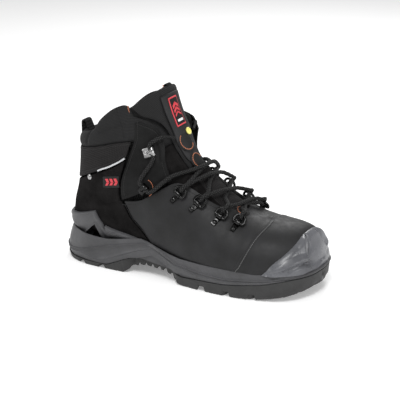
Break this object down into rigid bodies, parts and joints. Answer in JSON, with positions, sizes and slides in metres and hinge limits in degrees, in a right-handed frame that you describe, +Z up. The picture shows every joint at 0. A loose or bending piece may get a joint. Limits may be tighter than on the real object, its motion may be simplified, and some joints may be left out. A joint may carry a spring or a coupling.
{
  "type": "steel toe work boot",
  "caption": "Ankle-high safety work boot with a steel toe cap, rubber toe bumper, padded collar, ring lacing and a cleated sole.",
  "frame": {"origin": "centre of the bounding box, on the ground under the sole", "axes": "+X towards the toe, +Y towards the medial (inner) side of this right boot, +Z up"},
  "size_m": [0.3, 0.112, 0.2065],
  "materials": {
    "tread_rubber": "matt moulded rubber, slightly scuffed",
    "sole_rubber": "matt moulded polyurethane",
    "bumper_rubber": "semi-matt moulded rubber",
    "steel": "bare pressed steel",
    "board": "pressed fibre board",
    "foam": "foam under a textile cover",
    "lining_mesh": "knitted spacer mesh",
    "smooth_leather": "matt black leather with a fine grain",
    "coated_leather": "coated leather, semi-matt",
    "nubuck": "nubuck, matt and slightly brushed",
    "textile": "dense woven nylon",
    "padded_textile": "coated textile over foam",
    "webbing": "woven nylon webbing",
    "lace_cord": "round braided polyester cord",
    "red_trim": "red moulded trim",
    "yellow_plastic": "yellow plastic",
    "reflective": "silver reflective film",
    "dark_metal": "black oxide on steel wire and plate",
    "bright_metal": "polished plate"
  },
  "bodies": {
    "boot": {"outsole": "tread_rubber", "midsole": "sole_rubber", "toe_bumper": "bumper_rubber", "heel_clip": "sole_rubber", "puncture_plate": "steel", "insole_board": "board", "steel_toe_cap": "steel", "toe_cap_edge_pad": "foam", "heel_counter": "board", "lining": "lining_mesh", "vamp": "smooth_leather", "toe_overlay": "coated_leather", "collar_band": "textile", "collar_pad": "padded_textile", "tongue_base": "padded_textile", "lace": "lace_cord", "heel_pull_loop": "webbing", "quarter_lateral": "nubuck", "facing_lateral": "coated_leather", "gusset_lateral": "textile", "lock_hook_lateral": "dark_metal", "top_hook_lateral": "bright_metal", "reflective_piping_lateral": "reflective", "ankle_patch_lateral": "red_trim", "rear_rivet_lateral": "bright_metal", "ring_bracket_lateral_1": "dark_metal", "ring_bracket_lateral_2": "dark_metal", "ring_bracket_lateral_3": "dark_metal", "ring_bracket_lateral_4": "dark_metal", "quarter_medial": "nubuck", "facing_medial": "coated_leather", "gusset_medial": "textile", "lock_hook_medial": "dark_metal", "top_hook_medial": "bright_metal", "reflective_piping_medial": "reflective", "ankle_patch_medial": "red_trim", "rear_rivet_medial": "bright_metal", "ring_bracket_medial_1": "dark_metal", "ring_bracket_medial_2": "dark_metal", "ring_bracket_medial_3": "dark_metal", "ring_bracket_medial_4": "dark_metal"},
    "tongue": {"tongue_top": "padded_textile", "tongue_strap": "coated_leather", "tongue_label": "red_trim", "tongue_button": "yellow_plastic", "tongue_loop": "webbing"},
    "footbed": {"footbed": "foam"},
    "ring_lateral_1": {"lace_ring_lateral_1": "dark_metal"},
    "ring_lateral_2": {"lace_ring_lateral_2": "dark_metal"},
    "ring_lateral_3": {"lace_ring_lateral_3": "dark_metal"},
    "ring_lateral_4": {"lace_ring_lateral_4": "dark_metal"},
    "ring_medial_1": {"lace_ring_medial_1": "dark_metal"},
    "ring_medial_2": {"lace_ring_medial_2": "dark_metal"},
    "ring_medial_3": {"lace_ring_medial_3": "dark_metal"},
    "ring_medial_4": {"lace_ring_medial_4": "dark_metal"}
  },
  "joints": [
    {"name": "tongue_tip", "type": "hinge", "parent": "boot", "child": "tongue", "pos_m": [0.00847, 0.00105, 0.11911], "axis": [0, 1, 0], "range_deg": [0, 25], "deforming": ["lace"]},
    {"name": "footbed_lift", "type": "hinge", "parent": "boot", "child": "footbed", "pos_m": [0.13, 0, 0.0215], "axis": [0, 1, 0], "range_deg": [0, 8]},
    {"name": "ring_lateral_1_swing", "type": "hinge", "parent": "boot", "child": "ring_lateral_1", "pos_m": [0.06749, -0.03028, 0.07362], "axis": [0.9361, -0.0185, -0.3513], "range_deg": [-18, 40], "deforming": ["lace"]},
    {"name": "ring_lateral_2_swing", "type": "hinge", "parent": "boot", "child": "ring_lateral_2", "pos_m": [0.04891, -0.03455, 0.07883], "axis": [0.8867, -0.0582, -0.4586], "range_deg": [-18, 40], "deforming": ["lace"]},
    {"name": "ring_lateral_3_swing", "type": "hinge", "parent": "boot", "child": "ring_lateral_3", "pos_m": [0.02457, -0.03647, 0.08918], "axis": [0.7819, -0.1339, -0.6089], "range_deg": [-18, 40], "deforming": ["lace"]},
    {"name": "ring_lateral_4_swing", "type": "hinge", "parent": "boot", "child": "ring_lateral_4", "pos_m": [0.00332, -0.03876, 0.09672], "axis": [0.783, -0.0832, -0.6164], "range_deg": [-18, 40], "deforming": ["lace"]},
    {"name": "ring_medial_1_swing", "type": "hinge", "parent": "boot", "child": "ring_medial_1", "pos_m": [0.06731, 0.03303, 0.07351], "axis": [-0.9337, -0.0734, 0.3504], "range_deg": [-18, 40], "deforming": ["lace"]},
    {"name": "ring_medial_2_swing", "type": "hinge", "parent": "boot", "child": "ring_medial_2", "pos_m": [0.04856, 0.03541, 0.07866], "axis": [-0.8807, -0.13, 0.4554], "range_deg": [-18, 40], "deforming": ["lace"]},
    {"name": "ring_medial_3_swing", "type": "hinge", "parent": "boot", "child": "ring_medial_3", "pos_m": [0.02452, 0.03606, 0.08883], "axis": [-0.7868, -0.0744, 0.6127], "range_deg": [-18, 40], "deforming": ["lace"]},
    {"name": "ring_medial_4_swing", "type": "hinge", "parent": "boot", "child": "ring_medial_4", "pos_m": [0.00315, 0.03818, 0.09645], "axis": [-0.7837, -0.0729, 0.6169], "range_deg": [-18, 40], "deforming": ["lace"]}
  ]
}
